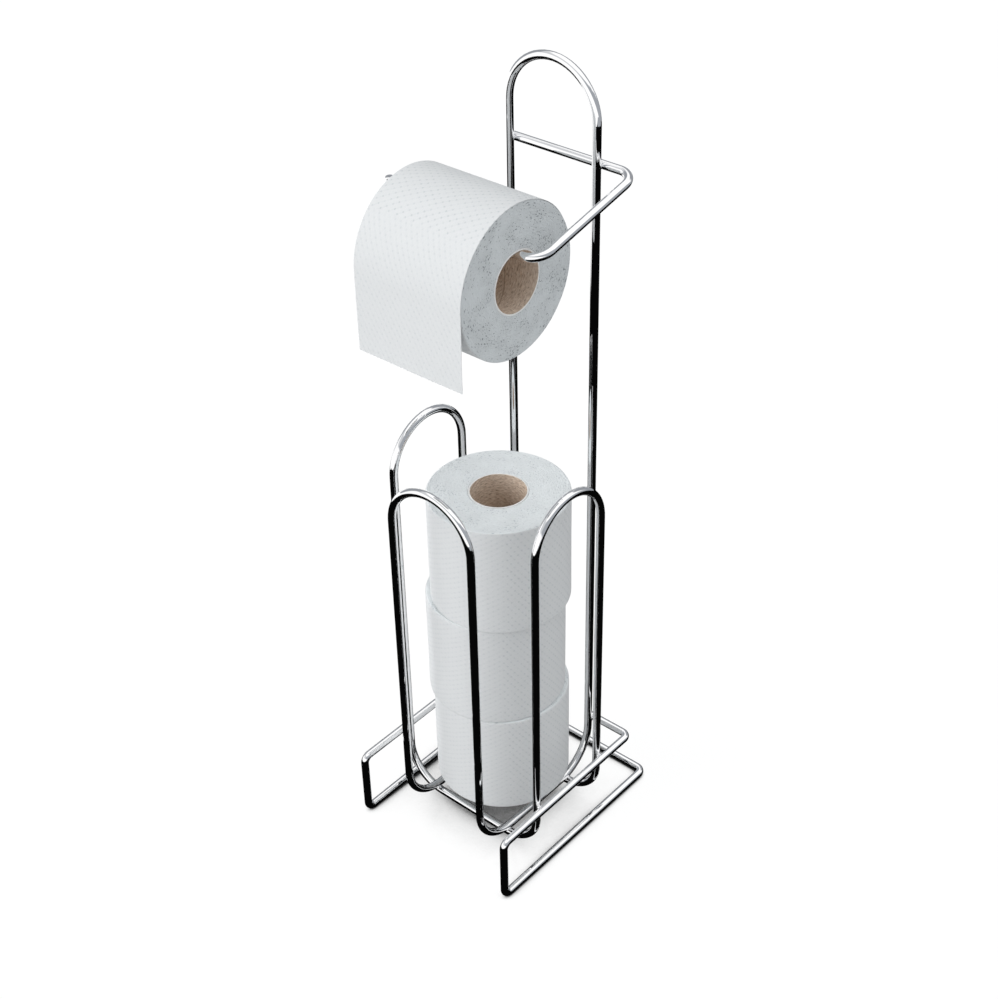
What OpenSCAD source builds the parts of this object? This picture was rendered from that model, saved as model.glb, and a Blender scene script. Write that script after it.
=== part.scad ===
// Floor-standing wire holder for paper rolls: one roll on an arm, three in a basket of hoops.
// Millimetres, +Z up, +Y to the back. The origin is on the floor at the centre of the base.

/* [Wire] */
// Diameter of every wire
wire_d = 6.5; // [5:0.1:8]
// Space that a weld bead bridges between two crossing wires
weld_gap = 0.3; // [0.2:0.1:1]
// Diameter of a weld bead
weld_d = 4.8; // [3:0.1:4.9]

/* [Base] */
// Half width of the base at the wire centre
base_half_w = 76.5; // [75:0.5:100]
// Half depth of the floor frame at the wire centre
base_half_d = 92.5; // [80:0.5:120]
// Height of the upper rails at the wire centre
rail_z = 61.3; // [52:0.1:90]
// Bend radius of the base corners at the wire centre
base_bend_r = 6; // [5:0.5:15]
// End of each upper rear bar past the tall leg's centre
upper_end = 4.5; // [3.5:0.1:30]

/* [Hoops] */
// Half spacing of the two legs of every hoop
leg_half = 39; // [30:0.5:42]
// Distance of the tall legs behind the middle of the base
rear_leg_y = 62.5; // [50:0.5:66]
// Distance of the front legs in front of the middle of the base
front_leg_y = 78.1; // [60:0.1:100]
// Distance of the side hoops' centre in front of the middle of the base
side_mid_y = 4.5; // [0:0.5:8]
// Height of the tall arch's centre
rear_arch_z = 601.6; // [590:0.1:700]
// Height of the front arch's centre
front_arch_z = 316.1; // [250:0.1:360]
// Height of the left arch's centre
left_arch_z = 322.8; // [250:0.1:360]
// Height of the right arch's centre
right_arch_z = 306.6; // [250:0.1:360]
// Bend radius at the foot of the front and tall legs
long_bend_r = 38; // [30:0.5:45]
// Bend radius at the foot of the side legs
side_bend_r = 35; // [28:0.5:45]
// Height of the side hoops' runs under the stack
side_run_z = 12; // [10:0.1:20]
// Distance of the joint between front and tall hoop in front of the middle
loop_joint_y = 7.8; // [0:0.1:15]

/* [Roll arm] */
// Height of the crossbar behind the tall legs
cross_z = 570.7; // [560:0.1:585]
// End of the crossbar past the left leg's centre
cross_end = 2.2; // [1:0.1:10]
// Side distance of the arm's forward run
arm_x = 67.5; // [60:0.5:85]
// Distance of the roll bar in front of the middle of the base
bar_y = 34.5; // [20:0.5:50]
// Height of the roll bar
bar_z = 547; // [520:0.1:555]
// Bend radius between crossbar and forward run
arm_bend_r = 13; // [8:0.5:18]
// Bend radius between forward run and roll bar
bar_bend_r = 14; // [8:0.5:20]
// Space between the roll on the arm and the turned-up end
tip_gap = 17.9; // [5:0.1:30]
// Bend radius of the turned-up end
tip_bend_r = 10; // [6:0.5:12]
// Height of the turned-up end above the bar's centre
tip_rise = 23.2; // [14:0.1:26]
// Rounding of the wire's cut ends
end_round = 1; // [0.5:0.1:2]

/* [Rolls] */
// Diameter of a full roll
roll_d = 112; // [90:1:122]
// Height of a roll
roll_h = 95; // [85:0.5:105]
// Outer diameter of the cardboard core
core_d = 46.4; // [38:0.1:50]
// Wall of the cardboard core
core_wall = 1.3; // [0.8:0.1:2]
// Space between a roll and the wire that carries it
rest_gap = 0.3; // [0.2:0.1:1]
// Space between two rolls of the stack
stack_gap = 0.1; // [0:0.1:1]
// Place of the bottom roll to the right of the middle
bottom_x = -5.2; // [-8:0.1:8]
// Place of the bottom roll behind the middle
bottom_y = 2.2; // [-10:0.1:4]
// Place of the middle roll to the right of the middle
middle_x = -7.5; // [-8:0.1:8]
// Place of the middle roll behind the middle
middle_y = -0.1; // [-10:0.1:4]
// Place of the top roll to the right of the middle
top_x = -2.6; // [-8:0.1:8]
// Place of the top roll behind the middle
top_y = 0.8; // [-10:0.1:4]

/* [Roll in use] */
// Space between the roll's right face and the start of the bar's bend
arm_roll_gap = 0.9; // [0.5:0.1:10]
// Angle by which the roll hangs in front of the bar
hang_angle = 11.5; // [0:0.5:20]
// Length of the sheet that hangs below the roll's centre
sheet_len = 60; // [40:0.5:100]
// Thickness of the sheet
sheet_t = 0.6; // [0.3:0.1:1]

/* [Hidden] */
$fn = 96;
wire_r = wire_d / 2;
weld_step = wire_d + weld_gap;
floor_rail_z = wire_r;
upper_bar_y = rear_leg_y + weld_step;
side_x = base_half_w - weld_step;
// The tall legs reach up to the crossbar at least.
tall_arch_z = max(rear_arch_z, cross_z + wire_r);

// The runs of the long loop lie on those of the side loop, both a little way up their foot bends.
// foot_up is that height above the straight run, at a distance from the leg that stands on the bend.
function foot_in(bend_r, dist) = max(bend_r - dist, 0);
function foot_up(bend_r, dist) = bend_r - sqrt(pow(bend_r, 2) - pow(foot_in(bend_r, dist), 2));
side_foot = side_x - leg_half;
front_foot = front_leg_y - side_mid_y - leg_half;
rear_foot = rear_leg_y + side_mid_y - leg_half;
side_slope = asin(foot_in(side_bend_r, side_foot) / side_bend_r);
front_slope = asin(foot_in(long_bend_r, front_foot) / long_bend_r);
long_up = min(foot_up(long_bend_r, front_foot), foot_up(long_bend_r, rear_foot));
run_step = weld_step / (cos(side_slope) * cos(front_slope));
long_run_z = side_run_z + foot_up(side_bend_r, side_foot) + run_step - long_up;

core_r = core_d / 2;
bore_r = core_r - core_wall;
roll_r = roll_d / 2;

// The bottom roll stands where its lower edge first meets the long loop's foot bends. chord is half
// its width at a side distance from its axis. foot_drop is how far below a bend's centre the edge
// may come at leg_y, at a side step off the wire's centre.
function chord(off) = sqrt(max(pow(roll_r, 2) - pow(off, 2), 0));
function foot_hug(step) = long_bend_r - sqrt(pow(wire_r + rest_gap, 2) - pow(step, 2));
function foot_drop(leg_y, edge_y, step) =
    sqrt(max(pow(foot_hug(step), 2) - pow(max(edge_y + long_bend_r - leg_y, 0), 2), 0));
drops = [for (side = [-1, 1], share = [-1 : 0.1 : 1])
    let (step = share * wire_r, half = chord(side * leg_half + step - bottom_x))
    min(foot_drop(rear_leg_y, half + bottom_y, step),
        foot_drop(front_leg_y, half - bottom_y, step))];
stack_z = long_run_z + long_bend_r - min(drops);

arm_drop = cross_z - bar_z;
arm_reach = upper_bar_y + bar_y;
arm_tilt = atan2(arm_drop, arm_reach);
arm_run = sqrt(pow(arm_reach, 2) + pow(arm_drop, 2));
hang_r = bore_r - wire_r - rest_gap;
arm_roll_x = arm_x - bar_bend_r - arm_roll_gap;
arm_roll_y = -bar_y - hang_r * sin(hang_angle);
arm_roll_z = bar_z - hang_r * cos(hang_angle);
tip_x = arm_roll_x - roll_h - tip_gap - wire_r;
sheet_y = arm_roll_y - roll_r - rest_gap;

chrome = [0.8, 0.8, 0.82];
weld_grey = [0.65, 0.65, 0.68];
paper_white = [0.93, 0.94, 0.94];
card_brown = [0.62, 0.5, 0.4];

// Straight wire from the origin along one axis
module wire_x(len) { rotate([0, 90, 0]) cylinder(h = len, r = wire_r); }
module wire_y(len) { rotate([-90, 0, 0]) cylinder(h = len, r = wire_r); }
module wire_z(len) { cylinder(h = len, r = wire_r); }

// Bent wire about Z, starting on +X and turning to +Y
module arc(bend_r, turn) {
    rotate_extrude(angle = turn) translate([bend_r, 0]) circle(r = wire_r);
}

// Cut end of a wire along +Z with a rounded rim
module wire_end(len) {
    rotate_extrude() {
        square([wire_r - end_round, len]);
        square([wire_r, len - end_round]);
        translate([wire_r - end_round, len - end_round]) circle(r = end_round);
    }
}

// Quarter bends in the YZ plane: from a leg on -Y down to -Z, and from a leg on -Y up to +Z
module foot_bend(bend_r) { rotate([0, 90, 0]) rotate([0, 0, -90]) arc(bend_r, 90); }
module head_bend(bend_r) { rotate([0, 90, 0]) rotate([0, 0, 180]) arc(bend_r, 90); }

// One leg hanging from the origin, its foot bent towards +Y, and the straight run after the foot
module leg(leg_len, bend_r, run_len) {
    translate([0, 0, -leg_len]) {
        wire_z(leg_len);
        translate([0, bend_r, 0]) foot_bend(bend_r);
        translate([0, bend_r, -bend_r]) wire_y(run_len);
    }
}

// A whole hoop in the XZ plane: the arch over two legs, with both runs reaching run towards +Y
module hoop(arch_z, run_z, bend_r, run) {
    color(chrome) translate([0, 0, arch_z]) {
        rotate([90, 0, 0]) arc(leg_half, 180);
        for (side = [-1, 1])
            translate([side * leg_half, 0, 0])
                leg(arch_z - run_z - bend_r, bend_r, run - bend_r);
    }
}

module rear_hoop() {
    translate([0, rear_leg_y, 0]) rotate([0, 0, 180])
        hoop(tall_arch_z, long_run_z, long_bend_r, rear_leg_y + loop_joint_y);
}

module front_hoop() {
    translate([0, -front_leg_y, 0])
        hoop(front_arch_z, long_run_z, long_bend_r, front_leg_y - loop_joint_y);
}

module left_hoop() {
    translate([-side_x, -side_mid_y, 0]) rotate([0, 0, -90])
        hoop(left_arch_z, side_run_z, side_bend_r, side_x);
}

module right_hoop() {
    translate([side_x, -side_mid_y, 0]) rotate([0, 0, 90])
        hoop(right_arch_z, side_run_z, side_bend_r, side_x);
}

// Right half of the base wire, from the middle of the floor rear bar to its cut end above
module base_half() {
    bar_end = base_half_w - base_bend_r;
    front_y = base_bend_r - base_half_d;
    riser_z = floor_rail_z + base_bend_r;
    // floor rear bar, corner and rail
    translate([0, base_half_d, floor_rail_z]) wire_x(bar_end);
    translate([bar_end, base_half_d - base_bend_r, floor_rail_z]) arc(base_bend_r, 90);
    translate([base_half_w, front_y, floor_rail_z])
        wire_y(base_half_d - base_bend_r - front_y);
    // front riser between its two bends
    translate([base_half_w, front_y, riser_z]) foot_bend(base_bend_r);
    translate([base_half_w, -base_half_d, riser_z]) wire_z(rail_z - base_bend_r - riser_z);
    translate([base_half_w, front_y, rail_z - base_bend_r]) head_bend(base_bend_r);
    // upper rail, corner and the short rear bar that ends behind the tall leg
    translate([base_half_w, front_y, rail_z]) wire_y(upper_bar_y - base_bend_r - front_y);
    translate([bar_end, upper_bar_y - base_bend_r, rail_z]) arc(base_bend_r, 90);
    translate([bar_end, upper_bar_y, rail_z])
        rotate([0, -90, 0]) wire_end(bar_end - leg_half + upper_end);
}

module base_right() { color(chrome) base_half(); }
module base_left() { color(chrome) mirror([1, 0, 0]) base_half(); }

// The roll bar ends in an upright tip that keeps the roll on
module roll_tip() {
    translate([0, 0, tip_bend_r]) rotate([90, 0, 0]) rotate([0, 0, 180]) arc(tip_bend_r, 90);
    translate([-tip_bend_r, 0, tip_bend_r]) wire_end(tip_rise - tip_bend_r);
}

// Crossbar, forward run and roll bar lie in one plane that tilts down to the front
module roll_arm() {
    run_len = arm_run - arm_bend_r - bar_bend_r;
    bar_len = arm_x - bar_bend_r - tip_bend_r - tip_x;
    color(chrome) translate([0, upper_bar_y, cross_z]) rotate([arm_tilt, 0, 0]) {
        rotate([0, -90, 0]) wire_end(leg_half + cross_end);
        wire_x(arm_x - arm_bend_r);
        translate([arm_x - arm_bend_r, -arm_bend_r, 0]) arc(arm_bend_r, 90);
        translate([arm_x, -arm_bend_r, 0]) translate([0, -run_len, 0]) {
            wire_y(run_len);
            translate([-bar_bend_r, 0, 0]) rotate([0, 0, -90]) arc(bar_bend_r, 90);
            translate([-bar_bend_r, -bar_bend_r, 0]) translate([-bar_len, 0, 0]) {
                wire_x(bar_len);
                rotate([-arm_tilt, 0, 0]) roll_tip();
            }
        }
    }
}

// Weld beads are short plugs between two wire centres, cut by both wires
module plug(len) { cylinder(h = len, d = weld_d); }

// Beads between the tall legs and the arm's crossbar
module arm_welds() {
    color(weld_grey) difference() {
        for (side = [-1, 1])
            translate([side * leg_half, rear_leg_y, cross_z]) rotate([-90, 0, 0]) plug(weld_step);
        rear_hoop();
        roll_arm();
    }
}

// Beads between the tall legs and the upper rear bar
module rear_bar_welds() {
    color(weld_grey) difference() {
        for (side = [-1, 1])
            translate([side * leg_half, rear_leg_y, rail_z]) rotate([-90, 0, 0]) plug(weld_step);
        rear_hoop();
        base_left();
        base_right();
    }
}

// Beads between the side hoops' legs and the upper rails
module rail_welds() {
    color(weld_grey) difference() {
        for (side = [-1, 1]) {
            translate([-side_x, side * leg_half - side_mid_y, rail_z])
                rotate([0, -90, 0]) plug(weld_step);
            translate([side_x, side * leg_half - side_mid_y, rail_z])
                rotate([0, 90, 0]) plug(weld_step);
        }
        left_hoop();
        right_hoop();
        base_left();
        base_right();
    }
}

// Beads between the side hoops' runs and the long loop's runs that cross above them
module run_welds() {
    side_z = side_run_z + foot_up(side_bend_r, side_foot);
    front_z = long_run_z + foot_up(long_bend_r, front_foot);
    rear_z = long_run_z + foot_up(long_bend_r, rear_foot);
    color(weld_grey) difference() {
        for (side = [-1, 1]) {
            translate([side * leg_half, -leg_half - side_mid_y, side_z]) plug(front_z - side_z);
            translate([side * leg_half, leg_half - side_mid_y, side_z]) plug(rear_z - side_z);
        }
        left_hoop();
        right_hoop();
        front_hoop();
        rear_hoop();
    }
}

// Cardboard core and wound paper of a roll that stands on the origin
module core() {
    color(card_brown) rotate_extrude() translate([bore_r, 0]) square([core_wall, roll_h]);
}
module paper() {
    color(paper_white) rotate_extrude() translate([core_r, 0]) square([roll_r - core_r, roll_h]);
}

// Place of a roll in the stack, counted from the bottom roll
module stack_place(level, x, y) {
    translate([x, y, stack_z + level * (roll_h + stack_gap)]) children();
}

module bottom_core() { stack_place(0, bottom_x, bottom_y) core(); }
module bottom_paper() { stack_place(0, bottom_x, bottom_y) paper(); }
module middle_core() { stack_place(1, middle_x, middle_y) core(); }
module middle_paper() { stack_place(1, middle_x, middle_y) paper(); }
module top_core() { stack_place(2, top_x, top_y) core(); }
module top_paper() { stack_place(2, top_x, top_y) paper(); }

// Place of the roll that hangs on the bar, its axis along X
module arm_place() {
    translate([arm_roll_x, arm_roll_y, arm_roll_z]) rotate([0, -90, 0]) children();
}

module arm_core() { arm_place() core(); }
module arm_paper() { arm_place() paper(); }

// Sheet that hangs down from the front of the roll in use
module loose_sheet() {
    color(paper_white)
    translate([arm_roll_x - roll_h, sheet_y - sheet_t, arm_roll_z - sheet_len])
        cube([roll_h, sheet_t, sheet_len]);
}

rear_hoop();
front_hoop();
left_hoop();
right_hoop();
base_left();
base_right();
roll_arm();
arm_welds();
rear_bar_welds();
rail_welds();
run_welds();
arm_core();
arm_paper();
loose_sheet();
bottom_core();
bottom_paper();
middle_core();
middle_paper();
top_core();
top_paper();
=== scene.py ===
import math

import bmesh
import bpy
from mathutils import Matrix, Vector, noise


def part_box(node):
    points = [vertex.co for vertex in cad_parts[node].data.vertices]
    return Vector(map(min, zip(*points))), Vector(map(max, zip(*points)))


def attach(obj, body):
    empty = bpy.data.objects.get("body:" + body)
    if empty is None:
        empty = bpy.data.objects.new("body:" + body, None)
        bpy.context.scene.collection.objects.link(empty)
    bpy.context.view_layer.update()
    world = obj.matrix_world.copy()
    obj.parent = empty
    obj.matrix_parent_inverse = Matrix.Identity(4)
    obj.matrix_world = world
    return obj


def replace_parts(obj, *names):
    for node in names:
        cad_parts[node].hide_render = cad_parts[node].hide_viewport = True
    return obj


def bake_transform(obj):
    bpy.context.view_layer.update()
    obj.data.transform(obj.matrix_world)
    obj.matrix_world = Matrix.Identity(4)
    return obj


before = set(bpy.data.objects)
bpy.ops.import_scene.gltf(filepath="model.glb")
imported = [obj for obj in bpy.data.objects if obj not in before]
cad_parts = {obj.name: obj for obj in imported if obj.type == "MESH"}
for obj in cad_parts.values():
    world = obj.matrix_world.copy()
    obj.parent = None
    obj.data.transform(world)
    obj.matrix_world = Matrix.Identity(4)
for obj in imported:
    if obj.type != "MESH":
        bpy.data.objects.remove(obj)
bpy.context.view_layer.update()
bpy.ops.object.select_all(action="DESELECT")

# Camera. It stands in front of the holder's right corner and looks down on it, where the
# photograph was taken from, with the aim a little below half the holder's height.
camera_turn = math.radians(41.442)
camera_lift = math.radians(35.384)
camera_roll = math.radians(-1.331)
camera_aim = Vector((-0.009855, 0.009374, 0.300))
camera_distance = 1.317175
film_width, lens_length = 36, 61.644

back = Vector((math.sin(camera_turn) * math.cos(camera_lift),
               -math.cos(camera_turn) * math.cos(camera_lift),
               math.sin(camera_lift)))
level = Vector((math.cos(camera_turn), math.sin(camera_turn), 0))
upright = back.cross(level)
right = level * math.cos(camera_roll) + upright * math.sin(camera_roll)
up = upright * math.cos(camera_roll) - level * math.sin(camera_roll)
camera = bpy.data.objects.new("camera", bpy.data.cameras.new("camera"))
bpy.context.scene.collection.objects.link(camera)
camera.matrix_world = Matrix.Translation(camera_aim + back * camera_distance) @ Matrix(
    (right, up, back)).transposed().to_4x4()
camera.data.sensor_fit = "HORIZONTAL"
camera.data.sensor_width = film_width
camera.data.lens = lens_length
camera.data.clip_start = 0.05
bpy.context.scene.camera = camera


# Chromed wires. The four hoops, the two halves of the base and the arm are one gauge of
# steel wire, bent cold on formers and polished, then plated with bright chrome when the
# whole rack has been welded. Their shapes are the CAD solids; here they get their plating.
def new_material(name):
    """A material that holds one Principled shader, with its node tree and that shader."""
    material = bpy.data.materials.new(name)
    material.use_nodes = True
    tree = material.node_tree
    tree.nodes.clear()
    shader = tree.nodes.new("ShaderNodeBsdfPrincipled")
    output = tree.nodes.new("ShaderNodeOutputMaterial")
    tree.links.new(shader.outputs["BSDF"], output.inputs["Surface"])
    return material, tree, shader


def feed(tree, socket, value):
    """Links an output to a socket, or sets the socket when the value is plain."""
    if isinstance(value, bpy.types.NodeSocket):
        tree.links.new(value, socket)
    elif value is not None:
        socket.default_value = value


def reckon(tree, operation, a, b=None, c=None):
    """The result of one Math node."""
    node = tree.nodes.new("ShaderNodeMath")
    node.operation = operation
    for socket, value in zip(node.inputs, (a, b, c)):
        feed(tree, socket, value)
    return node.outputs[0]


def spread(tree, value, low, high, to_low=0.0, to_high=1.0):
    """Goes smoothly from to_low to to_high while the value goes from low to high."""
    node = tree.nodes.new("ShaderNodeMapRange")
    node.interpolation_type = "SMOOTHSTEP"
    for name, number in (("Value", value), ("From Min", low), ("From Max", high),
                         ("To Min", to_low), ("To Max", to_high)):
        feed(tree, node.inputs[name], number)
    return node.outputs["Result"]


def grain(tree, where, size, detail=3.0, stretch=None):
    """Noise with features of about that size in metres, stretched by a factor on each axis."""
    node = tree.nodes.new("ShaderNodeTexNoise")
    node.inputs["Scale"].default_value = 1 / size
    node.inputs["Detail"].default_value = detail
    if stretch:
        turn = tree.nodes.new("ShaderNodeMapping")
        turn.vector_type = "TEXTURE"
        turn.inputs["Scale"].default_value = stretch
        tree.links.new(where, turn.inputs["Vector"])
        where = turn.outputs["Vector"]
    tree.links.new(where, node.inputs["Vector"])
    return node.outputs["Fac"]


def tinted(tree, share, plain, other):
    """A colour that goes from plain to other as share goes from 0 to 1."""
    node = tree.nodes.new("ShaderNodeMix")
    node.data_type = "RGBA"
    feed(tree, node.inputs["Factor"], share)
    feed(tree, node.inputs["A"], plain if isinstance(plain, bpy.types.NodeSocket) else (*plain, 1))
    feed(tree, node.inputs["B"], other if isinstance(other, bpy.types.NodeSocket) else (*other, 1))
    return node.outputs["Result"]


def relief(tree, height, distance):
    """A Bump node for a height from 0 to 1 that stands for that distance in metres."""
    node = tree.nodes.new("ShaderNodeBump")
    node.inputs["Distance"].default_value = distance
    tree.links.new(height, node.inputs["Height"])
    return node.outputs["Normal"]


def put_in(tree, group, **values):
    """Places a node group in a material, its inputs linked or set, and gives its outputs."""
    node = tree.nodes.new("ShaderNodeGroup")
    node.node_tree = group
    for name, value in values.items():
        feed(tree, node.inputs[name.replace("_", " ").title()], value)
    return node.outputs


def place_in_piece(tree):
    """The place of a point on the piece, in metres."""
    return tree.nodes.new("ShaderNodeTexCoord").outputs["Object"]


chrome_plain, chrome_dull = (0.93, 0.93, 0.935), (0.88, 0.883, 0.89)
dull_patch, wiping_mark, steel_ripple = 0.018, 0.0011, 0.009


def plating_group():
    """Worn plating: faint wiping marks in duller patches tint it and roughen it, and the ripple
    of the steel below is a mask from 0 to 1."""
    group = bpy.data.node_groups.new("plating", "ShaderNodeTree")
    group.interface.new_socket("Place", in_out="INPUT", socket_type="NodeSocketVector")
    for name, value in (("Bright Roughness", 0.025), ("Dull Roughness", 0.05)):
        socket = group.interface.new_socket(name, in_out="INPUT", socket_type="NodeSocketFloat")
        socket.default_value = value
    for name, kind in (("Colour", "Color"), ("Roughness", "Float"), ("Ripple", "Float")):
        group.interface.new_socket(name, in_out="OUTPUT", socket_type="NodeSocket" + kind)
    inputs = group.nodes.new("NodeGroupInput").outputs
    outputs = group.nodes.new("NodeGroupOutput").inputs
    patches = spread(group, grain(group, inputs["Place"], dull_patch), 0.42, 0.66)
    wiping = grain(group, inputs["Place"], wiping_mark, detail=4.0, stretch=(1, 1, 6))
    wear = reckon(group, "MULTIPLY", patches, spread(group, wiping, 0.52, 0.75))
    roughness = spread(group, wear, 0, 1, inputs["Bright Roughness"], inputs["Dull Roughness"])
    ripple = grain(group, inputs["Place"], steel_ripple, detail=1.0)
    group.links.new(tinted(group, wear, chrome_plain, chrome_dull), outputs["Colour"])
    group.links.new(roughness, outputs["Roughness"])
    group.links.new(ripple, outputs["Ripple"])
    return group


plating = plating_group()


def chrome_plating(name, roughness, dull_roughness, ripple):
    """Bright chrome with the plating group's wear, and a ripple of that depth in metres."""
    material, tree, shader = new_material(name)
    worn = put_in(tree, plating, place=place_in_piece(tree), bright_roughness=roughness,
                  dull_roughness=dull_roughness)
    tree.links.new(worn["Colour"], shader.inputs["Base Color"])
    tree.links.new(worn["Roughness"], shader.inputs["Roughness"])
    shader.inputs["Metallic"].default_value = 1
    tree.links.new(relief(tree, worn["Ripple"], ripple), shader.inputs["Normal"])
    return material


def coat(obj, *materials):
    """Puts materials in a piece's slots, in that order."""
    obj.data.materials.clear()
    for material in materials:
        obj.data.materials.append(material)


bright_chrome = chrome_plating("bright_chrome", roughness=0.025, dull_roughness=0.05,
                               ripple=0.00003)
for name in ("rear_hoop", "front_hoop", "left_hoop", "right_hoop", "base_left", "base_right",
             "roll_arm"):
    coat(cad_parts[name], bright_chrome)


# Weld beads. Where two wires cross they are resistance welded, and the metal that is squeezed
# out stands round the joint as a small saddle, plated over with the wires. Each bead is turned
# from a short cylinder between the wires, with flared ends that sink into both of them.
bead_waist, bead_flare, bead_lump, lumps_per_metre = 0.0021, 0.0027, 0.10, 900
side_hoops_middle = -0.0045
weld_chrome = chrome_plating("weld_chrome", roughness=0.09, dull_roughness=0.22, ripple=0.00025)


def bead_boxes(node):
    """The box of each bead of a weld node, told apart by the quarter of the rack it is in."""
    only_behind = node in ("arm_welds", "rear_bar_welds")
    corners = {}
    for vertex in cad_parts[node].data.vertices:
        place = vertex.co
        quarter = (place.x > 0, only_behind or place.y > side_hoops_middle)
        low, high = corners.setdefault(quarter, (place.copy(), place.copy()))
        for axis in range(3):
            low[axis] = min(low[axis], place[axis])
            high[axis] = max(high[axis], place[axis])
    return [corners[quarter] for quarter in sorted(corners)]


def finish_mesh(obj):
    """Puts a piece's place into its mesh and closes its normals outwards."""
    bpy.ops.object.select_all(action="DESELECT")
    obj.select_set(True)
    bpy.context.view_layer.objects.active = obj
    bpy.ops.object.transform_apply(location=True, rotation=True, scale=True)
    bpy.ops.object.mode_set(mode="EDIT")
    bpy.ops.mesh.select_all(action="SELECT")
    bpy.ops.mesh.remove_doubles(threshold=0.000001)
    bpy.ops.mesh.normals_make_consistent(inside=False)
    bpy.ops.object.mode_set(mode="OBJECT")
    bpy.ops.object.shade_smooth()


def apply_modifier(obj, kind, **settings):
    """Adds a modifier and applies it."""
    bpy.context.view_layer.objects.active = obj
    modifier = obj.modifiers.new(kind.lower(), kind)
    for name, value in settings.items():
        setattr(modifier, name, value)
    bpy.ops.object.modifier_apply(modifier=modifier.name)


def choose(obj, kind, keep):
    """Enters edit mode with those faces or edges selected for which keep is true."""
    bpy.context.view_layer.objects.active = obj
    bpy.ops.object.mode_set(mode="EDIT")
    bpy.ops.mesh.select_mode(type=kind)
    bpy.ops.mesh.select_all(action="DESELECT")
    mesh = bmesh.from_edit_mesh(obj.data)
    for part in mesh.faces if kind == "FACE" else mesh.edges:
        part.select_set(bool(keep(part)))
    bmesh.update_edit_mesh(obj.data)


def weld_bead(name, low, high, axis):
    """One bead between two wires that lie apart along axis 0 (X), 1 (Y) or 2 (Z)."""
    middle, depth = (low + high) / 2, high[axis] - low[axis]
    turn = {0: (0, math.pi / 2, 0), 1: (math.pi / 2, 0, 0), 2: (0, 0, 0)}[axis]
    bpy.ops.mesh.primitive_cylinder_add(vertices=24, radius=bead_flare, depth=depth,
                                        location=middle, rotation=turn)
    bead = bpy.context.object
    bead.name = bead.data.name = name
    choose(bead, "FACE", lambda face: abs(face.normal.z) < 0.5)
    bpy.ops.mesh.subdivide(number_cuts=5, quadcorner="INNERVERT")
    bpy.ops.object.mode_set(mode="OBJECT")
    for vertex in bead.data.vertices:
        share = min(abs(vertex.co.z) / (depth / 2), 1)
        waist = bead_waist + (bead_flare - bead_waist) * share ** 2
        lump = 1 + bead_lump * noise.noise((middle + vertex.co) * lumps_per_metre)
        flat = Vector((vertex.co.x, vertex.co.y, 0))
        if flat.length > bead_flare / 2:
            flat = flat.normalized() * waist * lump
        vertex.co = (flat.x, flat.y, vertex.co.z)
    finish_mesh(bead)
    coat(bead, weld_chrome)
    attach(bead, "frame")
    return bead


for node, axis in (("arm_welds", 1), ("rear_bar_welds", 1), ("rail_welds", 0), ("run_welds", 2)):
    for number, (low, high) in enumerate(bead_boxes(node), 1):
        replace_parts(weld_bead(f"{node}_{number}", low, high, axis), node)


# Cardboard cores. Two strips of brown board are wound on a mandrel at a slant and glued, so
# that a butt seam winds along the tube inside and out. The cut ends are a little frayed and
# show the lighter glue between the plies.
core_wall, core_edge, core_fray, frays_per_metre = 0.0013, 0.0003, 0.00025, 420
core_seam_pitch, core_seam_slant, ply_pitch = 0.062, 0.45, 0.00045
board_dark, board_light = (0.60, 0.47, 0.37), (0.86, 0.735, 0.62)
board_fleck, board_seam = (0.34, 0.25, 0.18), (0.38, 0.28, 0.20)
cut_ply, cut_paste, cut_fleck = (0.90, 0.90, 0.89), (0.74, 0.71, 0.67), (0.50, 0.44, 0.38)
board_relief, cut_relief, near_end = 0.00012, 0.0001, 0.49


def bearing_of(across, along, start):
    """The angle of a point seen along an axis, counted from start and within half a turn."""
    angle = math.atan2(along, across) - start
    return angle - 2 * math.pi * round(angle / (2 * math.pi))


def winding_map(obj, middle, axis, radius, length, start=0.0):
    """A UV map in metres: u runs round the piece from start, v along its axis, then in over
    the ends."""
    layer = obj.data.uv_layers.active or obj.data.uv_layers.new(name="winding")
    layer.name = "winding"
    side, other = [n for n in range(3) if n != axis]
    for face in obj.data.polygons:
        centre = face.center - middle
        course = bearing_of(centre[side], centre[other], start)
        ends = abs(face.normal[axis]) > 0.7
        for corner in face.loop_indices:
            place = obj.data.vertices[obj.data.loops[corner].vertex_index].co - middle
            angle = bearing_of(place[side], place[other], start)
            angle += 2 * math.pi * round((course - angle) / (2 * math.pi))
            along = place[axis] + length / 2
            if ends:
                drop = radius - math.hypot(place[side], place[other])
                along = length + drop if face.normal[axis] > 0 else -drop
            layer.data[corner].uv = (angle * radius, along)


def winding_place(tree):
    """u and v of the winding map, in metres."""
    uv = tree.nodes.new("ShaderNodeUVMap")
    uv.uv_map = "winding"
    apart = tree.nodes.new("ShaderNodeSeparateXYZ")
    tree.links.new(uv.outputs["UV"], apart.inputs[0])
    return uv.outputs["UV"], apart.outputs["X"], apart.outputs["Y"]


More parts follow.
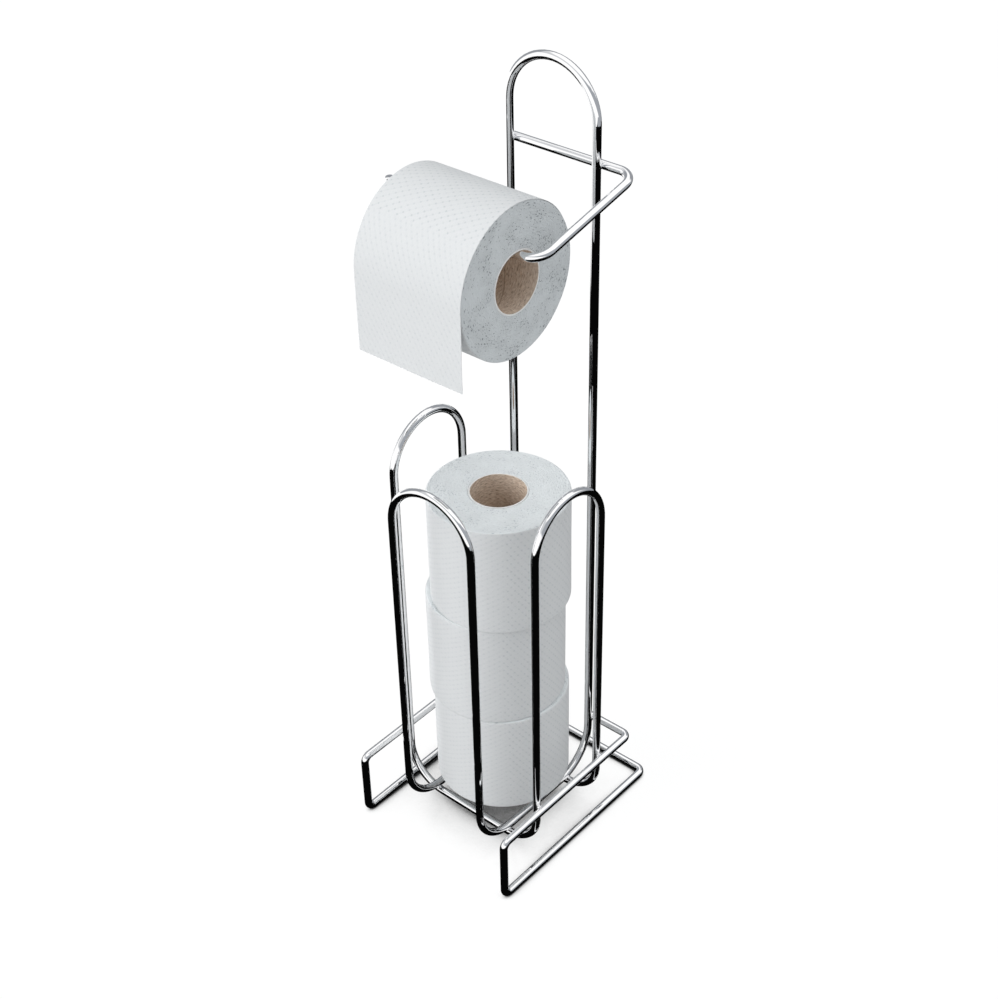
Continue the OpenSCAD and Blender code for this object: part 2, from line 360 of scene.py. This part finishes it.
def fibre_group():
    """Paper fibres: a long grain, dark flecks and a fine tooth, all as masks from 0 to 1."""
    group = bpy.data.node_groups.new("fibres", "ShaderNodeTree")
    group.interface.new_socket("Place", in_out="INPUT", socket_type="NodeSocketVector")
    for name, value in (("Grain Size", 0.0006), ("Fleck Size", 0.001), ("Fleck Share", 0.68)):
        socket = group.interface.new_socket(name, in_out="INPUT", socket_type="NodeSocketFloat")
        socket.default_value = value
    for name in ("Grain", "Flecks", "Tooth"):
        group.interface.new_socket(name, in_out="OUTPUT", socket_type="NodeSocketFloat")
    inputs = group.nodes.new("NodeGroupInput")
    outputs = group.nodes.new("NodeGroupOutput")

    def noise_of(size, detail, stretch):
        turn = group.nodes.new("ShaderNodeMapping")
        turn.vector_type = "TEXTURE"
        turn.inputs["Scale"].default_value = stretch
        group.links.new(inputs.outputs["Place"], turn.inputs["Vector"])
        node = group.nodes.new("ShaderNodeTexNoise")
        node.inputs["Detail"].default_value = detail
        group.links.new(turn.outputs["Vector"], node.inputs["Vector"])
        group.links.new(reckon(group, "DIVIDE", 1.0, size), node.inputs["Scale"])
        return node.outputs["Fac"]

    grain_size, fleck_size = inputs.outputs["Grain Size"], inputs.outputs["Fleck Size"]
    long_grain = noise_of(grain_size, 3.0, (3.5, 1.0, 1.0))
    fleck = noise_of(fleck_size, 1.0, (2.2, 0.7, 1.0))
    crowd = noise_of(reckon(group, "MULTIPLY", fleck_size, 11.0), 2.0, (1.6, 1.0, 1.0))
    tooth = noise_of(reckon(group, "MULTIPLY", grain_size, 0.4), 2.0, (1.0, 1.0, 1.0))
    threshold = reckon(group, "SUBTRACT", inputs.outputs["Fleck Share"],
                       reckon(group, "MULTIPLY", reckon(group, "SUBTRACT", crowd, 0.5), 0.35))
    flecks = spread(group, reckon(group, "SUBTRACT", fleck, threshold), 0.0, 0.05)
    group.links.new(spread(group, long_grain, 0.3, 0.7), outputs.inputs["Grain"])
    group.links.new(flecks, outputs.inputs["Flecks"])
    group.links.new(tooth, outputs.inputs["Tooth"])
    return group


fibres = fibre_group()


def add_fibres(tree, place, grain_size, fleck_size, fleck_share):
    """The fibres group in a material, with its own sizes."""
    masks = put_in(tree, fibres, place=place, grain_size=grain_size, fleck_size=fleck_size,
                   fleck_share=fleck_share)
    return masks["Grain"], masks["Flecks"], masks["Tooth"]


def cardboard():
    """Brown grey board with a long grain, dark flecks and the dark line of the wound seam."""
    material, tree, shader = new_material("brown_cardboard")
    place, around, along = winding_place(tree)
    long_grain, flecks, tooth = add_fibres(tree, place, grain_size=0.0010, fleck_size=0.0015,
                                           fleck_share=0.62)
    board = tinted(tree, long_grain, board_dark, board_light)
    board = tinted(tree, reckon(tree, "MULTIPLY", flecks, 0.7), board, board_fleck)
    slant = reckon(tree, "ADD", along, reckon(tree, "MULTIPLY", around, core_seam_slant))
    turn = reckon(tree, "PINGPONG", slant, core_seam_pitch / 2)
    seam = spread(tree, turn, 0.0002, 0.0007, 0.6, 0.0)
    board = tinted(tree, seam, board, board_seam)
    tree.links.new(board, shader.inputs["Base Color"])
    shader.inputs["Roughness"].default_value = 0.85
    shader.inputs["Specular IOR Level"].default_value = 0.2
    height = reckon(tree, "SUBTRACT", reckon(tree, "ADD", long_grain, tooth), seam)
    tree.links.new(relief(tree, height, board_relief), shader.inputs["Normal"])
    return material


def cut_board():
    """The cut end of a core: pale grey plies with the paste between them as darker rings."""
    material, tree, shader = new_material("cut_cardboard")
    place, around, along = winding_place(tree)
    long_grain, flecks, tooth = add_fibres(tree, place, grain_size=0.0008, fleck_size=0.0010,
                                           fleck_share=0.70)
    plies = reckon(tree, "SINE", reckon(tree, "MULTIPLY", along, 2 * math.pi / ply_pitch))
    board = tinted(tree, spread(tree, plies, 0.2, 1.0, 0.0, 0.30), cut_ply, cut_paste)
    board = tinted(tree, reckon(tree, "MULTIPLY", flecks, 0.5), board, cut_fleck)
    tree.links.new(board, shader.inputs["Base Color"])
    shader.inputs["Roughness"].default_value = 0.9
    shader.inputs["Specular IOR Level"].default_value = 0.15
    tree.links.new(relief(tree, reckon(tree, "ADD", long_grain, tooth), cut_relief),
                   shader.inputs["Normal"])
    return material


brown_cardboard, cut_cardboard = cardboard(), cut_board()


def rise(edge):
    """How far apart the ends of an edge lie along a round piece."""
    a, b = (vertex.co for vertex in edge.verts)
    return abs(a.z - b.z)


def thickness(edge):
    """How far apart the ends of an edge lie outwards from a round piece's middle."""
    a, b = (vertex.co for vertex in edge.verts)
    return abs(a.xy.length - b.xy.length)


def tube_between(name, node, axis, inner, rim, cuts):
    """A thick ring that fills a CAD node's box: a cylinder whose ends are inset to the bore,
    opened and bridged, with its rims rounded and its walls cut into rings."""
    low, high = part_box(node)
    middle, length = (low + high) / 2, high[axis] - low[axis]
    radius = (high[(axis + 1) % 3] - low[(axis + 1) % 3]) / 2
    turn = (0, math.pi / 2, 0) if axis == 0 else (0, 0, 0)
    bpy.ops.object.select_all(action="DESELECT")
    bpy.ops.mesh.primitive_cylinder_add(vertices=128, radius=radius, depth=length,
                                        location=middle, rotation=turn)
    ring = bpy.context.object
    ring.name = ring.data.name = name
    for end in (-1, 1):
        choose(ring, "FACE", lambda face: face.normal.z * end > 0.9)
        bpy.ops.mesh.inset(thickness=radius - inner, depth=0)
        bpy.ops.mesh.delete(type="FACE")
        bpy.ops.object.mode_set(mode="OBJECT")
    choose(ring, "EDGE", lambda edge: edge.is_boundary)
    bpy.ops.mesh.bridge_edge_loops()
    choose(ring, "EDGE", lambda edge: max(rise(edge), thickness(edge)) < 1e-6)
    bpy.ops.mesh.bevel(offset=rim, segments=4, profile=0.6, affect="EDGES")
    choose(ring, "EDGE", lambda edge: rise(edge) > length / 2)
    bpy.ops.mesh.subdivide(number_cuts=cuts)
    bpy.ops.object.mode_set(mode="OBJECT")
    return ring, middle, radius, length


def cardboard_core(node, axis):
    """The core in the place of its CAD node: a thin tube with softly cut ends."""
    low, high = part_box(node)
    inner = (high[(axis + 1) % 3] - low[(axis + 1) % 3]) / 2 - core_wall
    core, middle, radius, length = tube_between(f"{node}_board", node, axis, inner, core_edge, 11)
    shift = Vector((0, 0, middle.z * 50))
    for vertex in core.data.vertices:
        fray = core_fray * noise.noise(vertex.co * frays_per_metre + shift)
        if abs(vertex.co.z) > length * near_end:
            vertex.co.z -= math.copysign(abs(fray), vertex.co.z)
    finish_mesh(core)
    winding_map(core, middle, axis, radius, length)
    coat(core, brown_cardboard, cut_cardboard)
    for face in core.data.polygons:
        outward = face.center - middle
        outward[axis] = 0
        face.material_index = int(face.normal.dot(outward.normalized()) > -0.7)
    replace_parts(core, node)
    return core


for node, axis, body in (("bottom_core", 2, "bottom_roll"), ("middle_core", 2, "middle_roll"),
                         ("top_core", 2, "top_roll"), ("arm_core", 0, "arm_roll")):
    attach(cardboard_core(node, axis), body)


# Wound paper. Two-ply tissue is embossed with slanting rows of small dots that meet in a
# herringbone, wound on the core and cut to length, so that its edges show on the ends as fine
# rings with torn fibres. The rims are soft and the outside is a little out of round.
paper_light, paper_shade = (0.79, 0.797, 0.801), (0.71, 0.722, 0.732)
painted_pit_shade = (0.65, 0.67, 0.685)
coarse_columns, coarse_rows = 0.00275, 0.0074
fine_columns, fine_rows = 0.0040, 0.0048
coarse_dot, coarse_furrow = 0.0011, 0.25
fine_dot, fine_furrow, fine_depth = 0.0012, 0.30, 0.55
half_turn_of_paper, winding_pitch, edge_grain = 0.176, 0.0009, 0.0011
worn_patch, edge_cloud, dot_relief, edge_relief = 0.009, 0.014, 0.00015, 0.0002


def embossing_group():
    """Pressed dots in slanting rows, coarse and steep on one side of the herringbone's spine,
    fine and flat on the other, as a mask from 0 to 1. Around counts from the spine."""
    group = bpy.data.node_groups.new("embossing", "ShaderNodeTree")
    for name, value in (("Around", 0.0), ("Along", 0.0), ("Half Turn", half_turn_of_paper)):
        socket = group.interface.new_socket(name, in_out="INPUT", socket_type="NodeSocketFloat")
        socket.default_value = value
    group.interface.new_socket("Pressed", in_out="OUTPUT", socket_type="NodeSocketFloat")
    inputs = group.nodes.new("NodeGroupInput").outputs
    outputs = group.nodes.new("NodeGroupOutput")

    def off_centre(value, pitch):
        share = reckon(group, "FRACT", reckon(group, "DIVIDE", value, pitch))
        return reckon(group, "MULTIPLY", reckon(group, "SUBTRACT", share, 0.5), pitch)

    def lattice(columns, rows, dot, furrow):
        column = reckon(group, "FLOOR", reckon(group, "DIVIDE", from_spine, columns))
        side = off_centre(from_spine, columns)
        down = off_centre(reckon(group, "MULTIPLY_ADD", column, rows / 2, inputs["Along"]), rows)
        apart = reckon(group, "SQRT", reckon(group, "ADD", reckon(group, "MULTIPLY", side, side),
                                             reckon(group, "MULTIPLY", down, down)))
        level = reckon(group, "MULTIPLY_ADD", from_spine, rows / 2 / columns, inputs["Along"])
        level = off_centre(reckon(group, "SUBTRACT", level, rows / 4), rows)
        line = spread(group, reckon(group, "ABSOLUTE", level), 0.0, dot * 1.3, furrow, 0.0)
        return reckon(group, "MAXIMUM", spread(group, apart, dot * 0.3, dot, 1.0, 0.0), line)

    from_spine = reckon(group, "PINGPONG", inputs["Around"], inputs["Half Turn"])
    turns = reckon(group, "DIVIDE", inputs["Around"],
                   reckon(group, "MULTIPLY", inputs["Half Turn"], 2.0))
    fine_side = reckon(group, "GREATER_THAN", reckon(group, "FRACT", turns), 0.5)
    coarse = lattice(coarse_columns, coarse_rows, coarse_dot, coarse_furrow)
    fine = lattice(fine_columns, fine_rows, fine_dot, fine_furrow)
    fine = reckon(group, "MULTIPLY", fine, fine_depth)
    both = reckon(group, "ADD", reckon(group, "MULTIPLY", fine, fine_side),
                  reckon(group, "MULTIPLY", coarse, reckon(group, "SUBTRACT", 1.0, fine_side)))
    group.links.new(both, outputs.inputs["Pressed"])
    return group


embossing = embossing_group()


def tissue():
    """The outside of the roll and the loose sheet: soft off-white tissue with pressed dots,
    darkened in colour as painted shade in their pits.
    """
    material, tree, shader = new_material("embossed_tissue")
    place, around, along = winding_place(tree)
    pressed = put_in(tree, embossing, around=around, along=along)["Pressed"]
    worn = spread(tree, grain(tree, place, worn_patch), 0.32, 0.62, 0.35, 1.0)
    dots = reckon(tree, "MULTIPLY", pressed, worn)
    long_grain, flecks, tooth = add_fibres(tree, place, grain_size=0.0009, fleck_size=0.0009,
                                           fleck_share=0.80)
    crepe = reckon(tree, "ADD", reckon(tree, "MULTIPLY", long_grain, 0.30),
                   spread(tree, tooth, 0.35, 0.65, -0.16, 0.16))
    paper = tinted(tree, crepe, paper_light, paper_shade)
    # Painted shade: the pressed dots are darkened in colour as well as sunk by the bump, standing
    # for the shade in their pits.
    paper = tinted(tree, dots, paper, painted_pit_shade)
    tree.links.new(paper, shader.inputs["Base Color"])
    shader.inputs["Roughness"].default_value = 0.9
    shader.inputs["Specular IOR Level"].default_value = 0.15
    height = reckon(tree, "SUBTRACT", reckon(tree, "MULTIPLY", tooth, 0.45), dots)
    tree.links.new(relief(tree, height, dot_relief), shader.inputs["Normal"])
    return material


def paper_edges_group():
    """Paper edges on the end of a roll: cloudy patches and fine rings, as masks."""
    group = bpy.data.node_groups.new("paper_edges", "ShaderNodeTree")
    for name, kind in (("Place", "Vector"), ("Along", "Float")):
        group.interface.new_socket(name, in_out="INPUT", socket_type="NodeSocket" + kind)
    for name in ("Clouds", "Rings"):
        group.interface.new_socket(name, in_out="OUTPUT", socket_type="NodeSocketFloat")
    inputs = group.nodes.new("NodeGroupInput").outputs
    outputs = group.nodes.new("NodeGroupOutput").inputs
    clouds = grain(group, inputs["Place"], edge_cloud, detail=2.0, stretch=(1.6, 1, 1))
    turns = reckon(group, "MULTIPLY", inputs["Along"], 2 * math.pi / winding_pitch)
    group.links.new(spread(group, clouds, 0.35, 0.65), outputs["Clouds"])
    group.links.new(reckon(group, "SINE", turns), outputs["Rings"])
    return group


paper_edges = paper_edges_group()


def wound_ends(name, plain, fleck_colour, fleck_size, fleck_share, cloud_share):
    """The ends of a roll: hundreds of paper edges in rings, with torn fibres as dark flecks."""
    material, tree, shader = new_material(name)
    place, around, along = winding_place(tree)
    long_grain, flecks, tooth = add_fibres(tree, place, edge_grain, fleck_size, fleck_share)
    edges = put_in(tree, paper_edges, place=place, along=along)
    paper = tinted(tree, reckon(tree, "MULTIPLY", long_grain, 0.30), plain,
                   [0.86 * part for part in plain])
    paper = tinted(tree, reckon(tree, "MULTIPLY", edges["Clouds"], cloud_share), paper,
                   [0.83 * part for part in plain])
    paper = tinted(tree, flecks, paper, fleck_colour)
    tree.links.new(paper, shader.inputs["Base Color"])
    shader.inputs["Roughness"].default_value = 0.95
    shader.inputs["Specular IOR Level"].default_value = 0.1
    height = reckon(tree, "MULTIPLY_ADD", edges["Rings"], 0.2, long_grain)
    height = reckon(tree, "SUBTRACT", height, flecks)
    tree.links.new(relief(tree, height, edge_relief), shader.inputs["Normal"])
    return material


embossed_tissue = tissue()
# The two end materials are lit and shaded copies. The plain colour of the stack's ends, which face
# up, is made lighter as painted light, and the arm roll's end, which faces aside, is made darker
# as painted shade. The arm roll's darker flecks and stronger clouds are its own.
stack_ends = wound_ends("wound_paper_ends", plain=(0.90, 0.93, 0.94), fleck_size=0.0012,
                        fleck_colour=(0.55, 0.59, 0.62), fleck_share=0.655, cloud_share=0.25)
arm_ends = wound_ends("flecked_paper_ends_painted_shade", plain=(0.745, 0.775, 0.79), fleck_size=0.0013,
                      fleck_colour=(0.25, 0.27, 0.29), fleck_share=0.650, cloud_share=0.50)
end_relief, layers_per_metre, dents_round = 0.00022, 520, 1.3


def wound_paper(node, core_node, axis, rim, ends, spine, out_of_round):
    """The paper in the place of its CAD node, never outside it."""
    low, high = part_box(core_node)
    inner = (high[(axis + 1) % 3] - low[(axis + 1) % 3]) / 2
    paper, middle, radius, length = tube_between(f"{node}_tissue", node, axis, inner, rim, 15)
    choose(paper, "EDGE", lambda edge: thickness(edge) > (radius - inner) / 2)
    bpy.ops.mesh.subdivide(number_cuts=21)
    bpy.ops.object.mode_set(mode="OBJECT")
    shift = Vector((0, 0, middle.z * 9 + middle.x * 5))
    for vertex in paper.data.vertices:
        reach = vertex.co.xy.length
        bearing = math.atan2(vertex.co.y, vertex.co.x)
        outwards = Vector((math.cos(bearing), math.sin(bearing), 0))
        if reach > radius * 0.97:
            ring = (outwards + Vector((0, 0, vertex.co.z * 8))) * dents_round + shift
            dent = out_of_round * (0.5 - 0.5 * noise.noise(ring))
            vertex.co.xy = vertex.co.xy * (1 - dent / radius)
        elif reach > inner * 1.01 and abs(vertex.co.z) > length * near_end:
            layer = outwards * 0.6 + Vector((0, 0, reach * layers_per_metre)) + shift
            sink = end_relief * (0.5 + 0.5 * noise.noise(layer))
            vertex.co.z -= math.copysign(sink, vertex.co.z)
    finish_mesh(paper)
    winding_map(paper, middle, axis, radius, length, math.radians(spine))
    coat(paper, embossed_tissue, ends)
    for face in paper.data.polygons:
        face.material_index = int(abs(face.normal[axis]) > 0.7)
    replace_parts(paper, node)
    return paper


for roll, rim in (("bottom", 0.0026), ("middle", 0.0026), ("top", 0.0016)):
    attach(wound_paper(f"{roll}_paper", f"{roll}_core", 2, rim, stack_ends, spine=-44.3,
                        out_of_round=0.0005), f"{roll}_roll")
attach(wound_paper("arm_paper", "arm_core", 0, 0.0010, arm_ends, spine=133,
                    out_of_round=0.0002), "arm_roll")


# Loose sheet. The last sheets of the roll in use come over the top and down the front of the
# roll, and the end hangs straight down, with a slight curl and a torn perforation along its
# lower edge. They are one ply of the same tissue and lie close on the windings below.
sheet_low, sheet_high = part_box("loose_sheet")
roll_low, roll_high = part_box("arm_paper")
roll_middle = (roll_low + roll_high) / 2
roll_radius = (roll_high.z - roll_low.z) / 2
sheet_width = sheet_high.x - sheet_low.x
hang_length = sheet_high.z - sheet_low.z
sheet_wall, lay_angle, spine_angle = 0.0003, math.radians(150), math.radians(47)
lay_radius = roll_radius + sheet_wall / 2 + 0.00005
lay_length = lay_angle * lay_radius
tooth_pitch, tooth_depth, curl_depth, wave_depth = 0.0032, 0.0004, 0.0011, 0.0006
start_sink, start_length, corner_rise = 0.0009, 0.024, 0.0011


def hanging_sheet():
    """A flat grid bent over the roll's top and front, hung and given its thickness."""
    length = lay_length + hang_length
    columns, rows = 120, 110
    bpy.ops.object.select_all(action="DESELECT")
    bpy.ops.mesh.primitive_grid_add(x_subdivisions=columns, y_subdivisions=rows, size=1)
    sheet = bpy.context.object
    sheet.name = sheet.data.name = "hanging_sheet"
    layer = sheet.data.uv_layers.active
    layer.name = "winding"
    to_spine = (lay_angle - spine_angle) * lay_radius
    for corner in sheet.data.loops:
        place = sheet.data.vertices[corner.vertex_index].co
        layer.data[corner.index].uv = (to_spine - (0.5 - place.y) * length,
                                       (0.5 - place.x) * sheet_width)
    for vertex in sheet.data.vertices:
        across, down = vertex.co.x, (0.5 - vertex.co.y) * length
        x = roll_middle.x + across * sheet_width
        if down < lay_length:
            angle = lay_angle - down / lay_radius
            reach = lay_radius - start_sink * max(0, 1 - down / start_length) ** 2
            y = roll_middle.y - math.cos(angle) * reach
            z = roll_middle.z + math.sin(angle) * reach
        else:
            fall = (down - lay_length) / hang_length
            curl = curl_depth * math.sin(fall * math.pi / 2) ** 2
            wave = wave_depth * fall * noise.noise(Vector((across * 2.2, fall * 1.6, 3.1)))
            y = roll_middle.y - lay_radius - curl * (0.4 + 0.6 * across) - wave
            z = roll_middle.z - (down - lay_length) + corner_rise * (0.2 + across) * fall ** 2
            if down > length - 1e-6:
                z += tooth_depth * abs(math.sin(math.pi * x / tooth_pitch))
        vertex.co = (x, y, z)
    apply_modifier(sheet, "SOLIDIFY", thickness=sheet_wall, offset=0)
    finish_mesh(sheet)
    bpy.ops.object.shade_smooth_by_angle(angle=math.radians(40))
    coat(sheet, embossed_tissue)
    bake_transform(sheet)
    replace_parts(sheet, "loose_sheet")
    return sheet


hanging_sheet()


# Floor, world and lamps. The floor is white, and the close soft shadow of the rack on it is
# painted shade: the floor's glow is dimmed where parts stand close over it, above a faint real
# shadow. The chrome mirrors a white photographer's tent with a grey panel on the right and a soft
# grey seam below its roof, and the floor shows it a painted reflection of dark ground round the
# rack.
tent_white, tent_grey, tent_back = (1.12, 1.12, 1.12), (0.37, 0.39, 0.42), (0.31, 0.325, 0.35)
ground_left, ground_right, ground_front, ground_back = -0.84, 1.5, -1.4, 1.8
ground_dark, ground_edge = (0.002, 0.002, 0.002), 0.03
floor_size, floor_bounce = 8, (0.66, 0.66, 0.66, 1)
floor_pale, floor_glow = (0.10, 0.10, 0.10, 1), 0.93
shade_reach, shade_dark, shade_clear, shade_curve = 0.065, 0.374, 0.72, 0.6
plain_light, matt_light, backdrop_white = (0.52, 0.52, 0.52), (0.502, 0.52, 0.53), (1, 1, 1)
panel_foot, panel_top, panel_side = (0.146, 0.583, 0.80), (-0.563, 0.266, 0.782), (1, 0.3, 0)
roof_middle, away = (0.1, 0.15, 0.98), (-math.sin(camera_turn), math.cos(camera_turn), 0)


def floor():
    """The floor: pale to the camera with a painted shadow near the rack, matt to the paper above
    it, and a painted reflection of dark ground and tent to the chrome.
    """
    bpy.ops.object.select_all(action="DESELECT")
    bpy.ops.mesh.primitive_grid_add(x_subdivisions=8, y_subdivisions=8, size=floor_size)
    plane = bpy.context.object
    plane.name = "floor"
    material = bpy.data.materials.new("floor")
    material.use_nodes = True
    tree = material.node_tree
    tree.nodes.clear()
    light = tree.nodes.new("ShaderNodeLightPath")
    matt = tree.nodes.new("ShaderNodeBsdfDiffuse")
    matt.inputs["Color"].default_value = floor_bounce
    pale = tree.nodes.new("ShaderNodeBsdfDiffuse")
    pale.inputs["Color"].default_value = floor_pale
    # Painted shadow: ambient occlusion within shade_reach dims the glow that the camera sees on
    # the floor, standing for the rack's close shadow.
    open_near = tree.nodes.new("ShaderNodeAmbientOcclusion")
    open_near.samples = 16
    open_near.inputs["Distance"].default_value = shade_reach
    openness = tree.nodes.new("ShaderNodeSeparateColor")
    tree.links.new(open_near.outputs["Color"], openness.inputs[0])
    bright = tree.nodes.new("ShaderNodeMapRange")
    tree.links.new(openness.outputs["Red"], bright.inputs["Value"])
    bright.inputs["From Min"].default_value = shade_dark
    bright.inputs["From Max"].default_value = shade_clear
    open_share = reckon(tree, "POWER", bright.outputs["Result"], shade_curve)
    glow = tree.nodes.new("ShaderNodeEmission")
    glow.inputs["Color"].default_value = (1, 1, 1, 1)
    tree.links.new(reckon(tree, "MULTIPLY", open_share, floor_glow), glow.inputs["Strength"])
    lit = tree.nodes.new("ShaderNodeAddShader")
    tree.links.new(pale.outputs[0], lit.inputs[0])
    tree.links.new(glow.outputs[0], lit.inputs[1])
    sideways = tree.nodes.new("ShaderNodeSeparateXYZ")
    tree.links.new(place_in_piece(tree), sideways.inputs[0])
    # Painted reflection: to mirrors the floor glows dark round the rack and in the tent's colours
    # past the ground's edges.
    ground = ground_dark
    for axis, edge, towards, colour in (("Y", ground_back, 1, tent_back),
                                        ("X", ground_right, 1, tent_grey),
                                        ("Y", ground_front, -1, tent_white),
                                        ("X", ground_left, -1, tent_white)):
        past = spread(tree, sideways.outputs[axis], edge - ground_edge * towards,
                      edge + ground_edge * towards)
        ground = tinted(tree, past, ground, colour)
    dark = tree.nodes.new("ShaderNodeEmission")
    tree.links.new(ground, dark.inputs["Color"])
    seen = tree.nodes.new("ShaderNodeMixShader")
    tree.links.new(light.outputs["Is Camera Ray"], seen.inputs[0])
    tree.links.new(matt.outputs[0], seen.inputs[1])
    tree.links.new(lit.outputs[0], seen.inputs[2])
    mirrored = tree.nodes.new("ShaderNodeMixShader")
    tree.links.new(light.outputs["Is Glossy Ray"], mirrored.inputs[0])
    tree.links.new(seen.outputs[0], mirrored.inputs[1])
    tree.links.new(dark.outputs[0], mirrored.inputs[2])
    output = tree.nodes.new("ShaderNodeOutputMaterial")
    tree.links.new(mirrored.outputs[0], output.inputs["Surface"])
    coat(plane, material)


floor()

world = bpy.data.worlds.new("tent")
bpy.context.scene.world = world
world.use_nodes = True
tree = world.node_tree
tree.nodes.clear()
light = tree.nodes.new("ShaderNodeLightPath")
direction = tree.nodes.new("ShaderNodeTexCoord").outputs["Generated"]
apart = tree.nodes.new("ShaderNodeSeparateXYZ")
tree.links.new(direction, apart.inputs[0])
height = apart.outputs["Z"]


def facing(*towards):
    """How far a mirrored direction points that way, from -1 to 1."""
    node = tree.nodes.new("ShaderNodeVectorMath")
    node.operation = "DOT_PRODUCT"
    tree.links.new(direction, node.inputs[0])
    node.inputs[1].default_value = Vector(towards).normalized()
    return node.outputs["Value"]


def seam(value, low, high, soft, strength):
    """A grey band where a value lies between low and high."""
    inside = reckon(tree, "MULTIPLY", spread(tree, value, low - soft, low + soft),
                    spread(tree, value, high - soft, high + soft, 1.0, 0.0))
    return reckon(tree, "MULTIPLY", inside, strength)


panel = reckon(tree, "MULTIPLY", spread(tree, facing(*panel_foot), -0.05, 0.05),
               spread(tree, facing(*panel_top), 0.03, 0.11, 1.0, 0.0))
panel = reckon(tree, "MULTIPLY", panel, spread(tree, facing(*panel_side), 0.1, 0.3))
roof_seam = seam(facing(*roof_middle), 0.40, 0.74, 0.05,
                 spread(tree, facing(1, 0, 0), 0.1, 0.6, 0.62, 1.0))
roof_seam = reckon(tree, "MULTIPLY", roof_seam, spread(tree, facing(0, -1, 0), -0.45, -0.2))
low_back = reckon(tree, "MULTIPLY", spread(tree, facing(*away), 0.25, 0.55),
                  spread(tree, height, 0.60, 0.70, 1.0, 0.0))
tent = tinted(tree, reckon(tree, "MAXIMUM", panel, roof_seam), tent_white, tent_grey)
tent = tinted(tree, low_back, tent, tent_back)
lit = tinted(tree, light.outputs["Is Diffuse Ray"], plain_light, matt_light)
mirrored = tinted(tree, light.outputs["Is Glossy Ray"], lit, tent)
shown = tinted(tree, light.outputs["Is Camera Ray"], mirrored, backdrop_white)
surround = tree.nodes.new("ShaderNodeBackground")
tree.links.new(shown, surround.inputs["Color"])
output = tree.nodes.new("ShaderNodeOutputWorld")
tree.links.new(surround.outputs[0], output.inputs["Surface"])


def soft_lamp(name, towards, strength, softness):
    """A far lamp in that direction, its softness the angle in degrees that it fills."""
    lamp = bpy.data.objects.new(name, bpy.data.lights.new(name, "SUN"))
    lamp.data.energy = strength
    lamp.data.angle = math.radians(softness)
    lamp.matrix_world = Vector(towards).to_track_quat("Z", "Y").to_matrix().to_4x4()
    lamp.visible_glossy = False
    bpy.context.scene.collection.objects.link(lamp)


soft_lamp("key_lamp", towards=(-0.55, -0.75, 0.36), strength=1.76, softness=50)
soft_lamp("top_lamp", towards=(0.35, 0.2, 0.9), strength=0.6, softness=60)
soft_lamp("right_lamp", towards=(0.9, -0.2, 0.35), strength=0.08, softness=40)

bpy.context.scene.view_settings.view_transform = "Standard"
